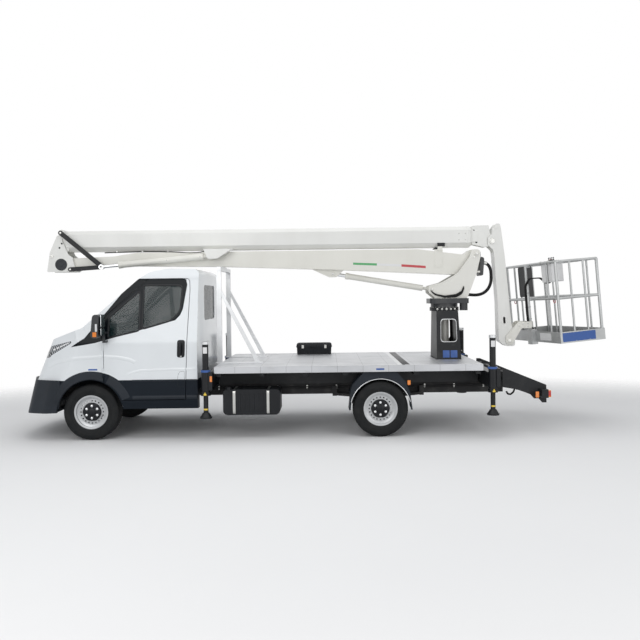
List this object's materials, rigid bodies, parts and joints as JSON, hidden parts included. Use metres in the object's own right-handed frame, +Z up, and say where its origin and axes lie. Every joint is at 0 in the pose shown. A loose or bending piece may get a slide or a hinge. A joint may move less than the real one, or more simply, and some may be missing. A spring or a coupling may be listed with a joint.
{
  "type": "cherry picker truck",
  "caption": "Light chassis-cab truck carrying a stowed articulated telescopic lift with a tubular work basket and four stabiliser legs.",
  "frame": {"origin": "on the floor, under the centre of the bounding box", "axes": "+Z up, the truck faces -X, its driver's side (left) is -Y"},
  "size_m": [7.891, 2.58, 2.838],
  "materials": {
    "black_steel": "satin black paint on welded steel",
    "cast_block": "cast",
    "black_plastic": "grained dark moulding",
    "aluminium_plate": "mill aluminium",
    "grey_case": "moulded grey",
    "white_paint": "gloss white paint",
    "cream_paint": "off-white paint",
    "clear_glass": "tinted",
    "lamp_lens": "clear moulded lens",
    "seat_cloth": "woven cloth",
    "hose_rubber": "matt",
    "basket_metal": "grey coated tube",
    "leg_steel": "black tube",
    "tyre_rubber": "tread rubber",
    "wheel_steel": "silver paint",
    "chromed_rod": "polished"
  },
  "bodies": {
    "chassis": {"frame_rails": "black_steel", "axles": "black_steel", "engine_block": "cast_block", "fuel_tank": "black_plastic", "rear_mudguards": "black_plastic", "tail_frame": "black_steel", "subframe": "black_steel", "deck": "aluminium_plate", "headboard": "aluminium_plate", "pad_case": "black_plastic", "jack_frames": "black_steel", "cab_shell": "white_paint", "cab_glass": "clear_glass", "lamps": "lamp_lens", "grille": "black_plastic", "front_bumper": "black_plastic", "dashboard": "black_plastic", "seats": "seat_cloth", "pedestal": "black_steel"},
    "knuckle_left": {"knuckle_left": "black_steel"},
    "knuckle_right": {"knuckle_right": "black_steel"},
    "door_left": {"door_left": "white_paint", "door_glass_left": "clear_glass", "mirror_left": "black_plastic"},
    "door_right": {"door_right": "white_paint", "door_glass_right": "clear_glass", "mirror_right": "black_plastic"},
    "bonnet": {"bonnet": "white_paint"},
    "turret": {"turret": "cream_paint", "turret_hose": "hose_rubber"},
    "lower_boom": {"lower_boom": "cream_paint"},
    "elbow_head": {"elbow_head": "white_paint"},
    "elbow_link": {"elbow_link": "black_steel"},
    "elbow_lever": {"elbow_lever": "black_steel"},
    "upper_boom": {"upper_boom": "white_paint"},
    "upper_mid": {"upper_mid": "white_paint"},
    "upper_inner": {"upper_inner": "white_paint"},
    "jib": {"jib": "cream_paint"},
    "basket_carrier": {"basket_carrier": "cream_paint"},
    "basket": {"basket_frame": "basket_metal", "control_box": "grey_case"},
    "lift_cylinder": {"lift_cylinder": "white_paint"},
    "lift_rod": {"lift_rod": "chromed_rod"},
    "tilt_cylinder": {"tilt_cylinder": "cream_paint"},
    "tilt_rod": {"tilt_rod": "chromed_rod"},
    "jack_leg_front_left": {"jack_leg_front_left": "leg_steel"},
    "wheel_front_left": {"tyre_front_left": "tyre_rubber", "wheel_front_left": "wheel_steel"},
    "jack_leg_front_right": {"jack_leg_front_right": "leg_steel"},
    "wheel_front_right": {"tyre_front_right": "tyre_rubber", "wheel_front_right": "wheel_steel"},
    "jack_leg_rear_left": {"jack_leg_rear_left": "leg_steel"},
    "wheel_rear_left": {"tyre_rear_left": "tyre_rubber", "wheel_rear_left": "wheel_steel"},
    "jack_leg_rear_right": {"jack_leg_rear_right": "leg_steel"},
    "wheel_rear_right": {"tyre_rear_right": "tyre_rubber", "wheel_rear_right": "wheel_steel"}
  },
  "joints": [
    {"name": "steer_left", "type": "hinge", "parent": "chassis", "child": "knuckle_left", "pos_m": [-2.878, -0.715, 0.363], "axis": [0, 0, 1], "range_deg": [-35, 35]},
    {"name": "spin_front_left", "type": "hinge", "parent": "knuckle_left", "child": "wheel_front_left", "pos_m": [-2.878, -0.8475, 0.363], "axis": [0, 1, 0], "continuous": true},
    {"name": "spin_rear_left", "type": "hinge", "parent": "chassis", "child": "wheel_rear_left", "pos_m": [0.887, -0.8475, 0.363], "axis": [0, 1, 0], "continuous": true},
    {"name": "door_left_swing", "type": "hinge", "parent": "chassis", "child": "door_left", "pos_m": [-2.694, -1.006, 1.05], "axis": [0, 0, -1], "range_deg": [0, 70]},
    {"name": "steer_right", "type": "hinge", "parent": "chassis", "child": "knuckle_right", "pos_m": [-2.878, 0.715, 0.363], "axis": [0, 0, 1], "range_deg": [-35, 35]},
    {"name": "spin_front_right", "type": "hinge", "parent": "knuckle_right", "child": "wheel_front_right", "pos_m": [-2.878, 0.8475, 0.363], "axis": [0, 1, 0], "continuous": true},
    {"name": "spin_rear_right", "type": "hinge", "parent": "chassis", "child": "wheel_rear_right", "pos_m": [0.887, 0.8475, 0.363], "axis": [0, 1, 0], "continuous": true},
    {"name": "door_right_swing", "type": "hinge", "parent": "chassis", "child": "door_right", "pos_m": [-2.694, 1.006, 1.05], "axis": [0, 0, 1], "range_deg": [0, 70]},
    {"name": "bonnet_lift", "type": "hinge", "parent": "chassis", "child": "bonnet", "pos_m": [-2.982, 0, 1.454], "axis": [0, 1, 0], "range_deg": [0, 55]},
    {"name": "jack_front_left", "type": "slide", "parent": "chassis", "child": "jack_leg_front_left", "axis": [0, 0, -1], "range_m": [0, 0.4]},
    {"name": "jack_front_right", "type": "slide", "parent": "chassis", "child": "jack_leg_front_right", "axis": [0, 0, -1], "range_m": [0, 0.4]},
    {"name": "jack_rear_left", "type": "slide", "parent": "chassis", "child": "jack_leg_rear_left", "axis": [0, 0, -1], "range_m": [0, 0.4]},
    {"name": "jack_rear_right", "type": "slide", "parent": "chassis", "child": "jack_leg_rear_right", "axis": [0, 0, -1], "range_m": [0, 0.4]},
    {"name": "slew", "type": "hinge", "parent": "chassis", "child": "turret", "pos_m": [1.882, 0, 1.661], "axis": [0, 0, 1], "range_deg": [0, 360]},
    {"name": "lower_boom_lift", "type": "hinge", "parent": "turret", "child": "lower_boom", "pos_m": [2.312, 0, 2.412], "axis": [0, 1, 0], "range_deg": [0, 75]},
    {"name": "elbow_level", "type": "hinge", "parent": "lower_boom", "child": "elbow_head", "pos_m": [-3.538, 0, 2.328], "axis": [0, -1, 0], "range_deg": [0, 75]},
    {"name": "upper_boom_lift", "type": "hinge", "parent": "elbow_head", "child": "upper_boom", "pos_m": [-3.668, 0, 2.445], "axis": [0, -1, 0], "range_deg": [0, 80]},
    {"name": "elbow_link_turn", "type": "hinge", "parent": "elbow_head", "child": "elbow_link", "pos_m": [-3.408, 0, 2.258], "axis": [0, -1, 0], "range_deg": [0, 61.05]},
    {"name": "elbow_lever_turn", "type": "hinge", "parent": "upper_boom", "child": "elbow_lever", "pos_m": [-3.528, 0, 2.772], "axis": [0, 1, 0], "range_deg": [0, 37.45]},
    {"name": "mid_extend", "type": "slide", "parent": "upper_boom", "child": "upper_mid", "axis": [1, 0, 0], "range_m": [0, 4.2]},
    {"name": "inner_extend", "type": "slide", "parent": "upper_mid", "child": "upper_inner", "axis": [1, 0, 0], "range_m": [0, 3.99]},
    {"name": "jib_lift", "type": "hinge", "parent": "upper_inner", "child": "jib", "pos_m": [2.552, 0, 2.59], "axis": [0, -1, 0], "range_deg": [0, 130]},
    {"name": "basket_level", "type": "hinge", "parent": "jib", "child": "basket_carrier", "pos_m": [2.782, 0, 1.175], "axis": [0, 1, 0], "range_deg": [0, 130]},
    {"name": "basket_turn", "type": "hinge", "parent": "basket_carrier", "child": "basket", "pos_m": [3.132, 0, 1.148], "axis": [-0.0785, 0, 0.9969], "range_deg": [-72, 48]},
    {"name": "lift_cylinder_turn", "type": "hinge", "parent": "turret", "child": "lift_cylinder", "pos_m": [1.682, 0, 1.918], "axis": [0, 1, 0], "range_deg": [0, 76.93]},
    {"name": "lift_rod_out", "type": "slide", "parent": "lift_cylinder", "child": "lift_rod", "axis": [-0.9858, 0, 0.1682], "range_m": [0, 0.9728]},
    {"name": "tilt_cylinder_turn", "type": "hinge", "parent": "upper_boom", "child": "tilt_cylinder", "pos_m": [-1.406, 0, 2.422], "axis": [0, -1, 0], "range_deg": [0, 6.19]},
    {"name": "tilt_rod_out", "type": "slide", "parent": "tilt_cylinder", "child": "tilt_rod", "axis": [-0.9961, 0, -0.0879], "range_m": [0, 0.4471]}
  ],
  "couplings": [
    {"joint": "steer_right", "follows": "steer_left", "ratio": 1},
    {"joint": "elbow_level", "follows": "lower_boom_lift", "ratio": 1},
    {"joint": "elbow_link_turn", "follows": "upper_boom_lift", "ratio": 0.7631},
    {"joint": "elbow_lever_turn", "follows": "upper_boom_lift", "ratio": 0.4679},
    {"joint": "inner_extend", "follows": "mid_extend", "ratio": 0.95},
    {"joint": "basket_level", "follows": "jib_lift", "ratio": 1},
    {"joint": "lift_cylinder_turn", "follows": "lower_boom_lift", "ratio": 1.0257},
    {"joint": "lift_rod_out", "follows": "lower_boom_lift", "m_per_rad": 0.7431},
    {"joint": "tilt_cylinder_turn", "follows": "upper_boom_lift", "ratio": 0.0773},
    {"joint": "tilt_rod_out", "follows": "upper_boom_lift", "m_per_rad": 0.3202}
  ]
}
